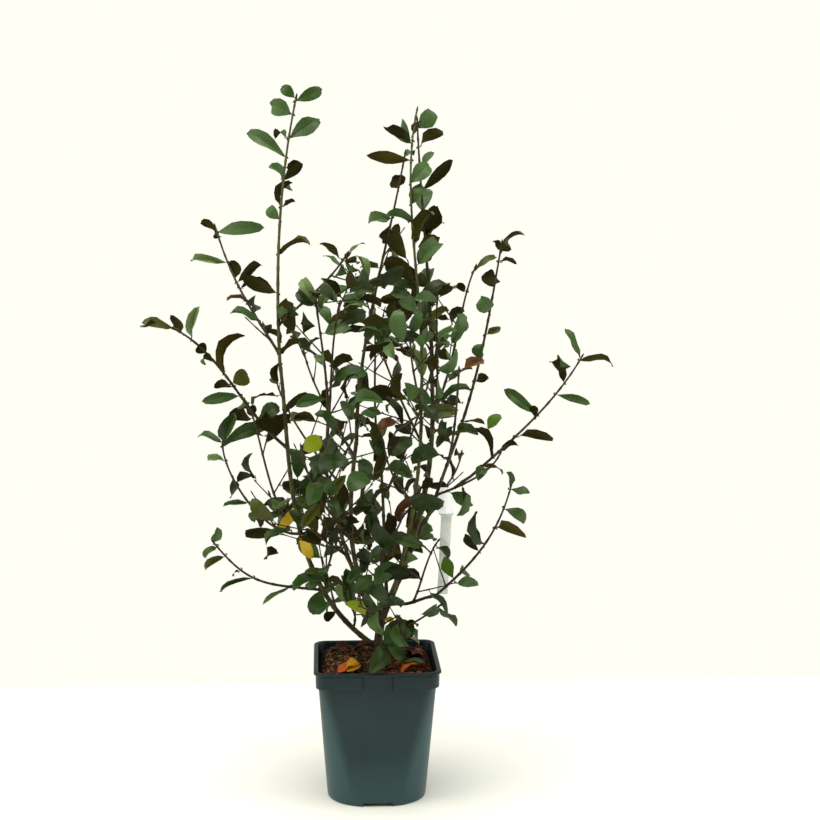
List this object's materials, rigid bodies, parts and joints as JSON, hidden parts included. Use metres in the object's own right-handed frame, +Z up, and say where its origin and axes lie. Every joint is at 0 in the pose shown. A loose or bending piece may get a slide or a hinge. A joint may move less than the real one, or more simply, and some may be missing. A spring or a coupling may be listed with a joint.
{
  "type": "potted evergreen shrub",
  "caption": "Young evergreen magnolia with many slim upright stems and small oval leaves, growing in a square tapered nursery pot with a blank hanging label.",
  "frame": {"origin": "middle of the flat underside of the pot, on the floor the plant stands on", "axes": "+Z up; X and Y along the sides of the square pot, with the side that is seen in front facing -Y"},
  "size_m": [0.6556, 0.5418, 0.9899],
  "materials": {
    "pot_plastic": "satin moulded plastic, dark blue-green grey",
    "soil": "rough peat and bark compost",
    "bark_brown": "thin dark brown bark",
    "bark_green": "smooth olive-green young bark",
    "leaf_green": "leathery leaves, half matt above and brownish below",
    "label_paper": "matt white coated paper"
  },
  "bodies": {
    "root": {"pot": "pot_plastic", "soil": "soil", "trunk": "bark_brown", "left_bough": "bark_green", "fork_bough": "bark_brown", "centre_bough": "bark_brown", "inner_bough": "bark_brown", "tall_bough": "bark_green", "main_bough": "bark_brown", "right_bough": "bark_brown", "far_right_bough": "bark_brown", "low_right_bough": "bark_brown", "plant_label": "label_paper", "left_top_leaves": "leaf_green", "out_left_leaves": "leaf_green", "low_left_leaves": "leaf_green", "mid_left_leaves": "leaf_green", "far_right_leaves": "leaf_green", "right_top_leaves": "leaf_green", "tall_top_leaves": "leaf_green", "main_top_leaves": "leaf_green", "centre_top_leaves": "leaf_green", "low_right_leaves": "leaf_green", "fork_crown_leaves": "leaf_green", "behind_main_leaves": "leaf_green", "near_main_leaves": "leaf_green", "slant_leaves": "leaf_green", "inner_top_leaves": "leaf_green", "near_right_leaves": "leaf_green", "left_in_leaves": "leaf_green", "left_out_leaves": "leaf_green", "base_right_leaves": "leaf_green", "base_centre_leaves": "leaf_green", "base_left_leaves": "leaf_green", "left_low_leaves": "leaf_green", "front_low_leaves": "leaf_green", "fork_low_leaves": "leaf_green", "fork_mid_leaves": "leaf_green", "tall_low_leaves": "leaf_green", "tall_mid_leaves": "leaf_green", "right_low_leaves": "leaf_green", "front_left_leaves": "leaf_green", "front_right_leaves": "leaf_green", "centre_low_leaves": "leaf_green", "centre_mid_leaves": "leaf_green", "inner_low_leaves": "leaf_green", "main_low_leaves": "leaf_green", "base_back_leaves": "leaf_green", "back_left_leaves": "leaf_green", "back_right_leaves": "leaf_green"}
  },
  "joints": []
}
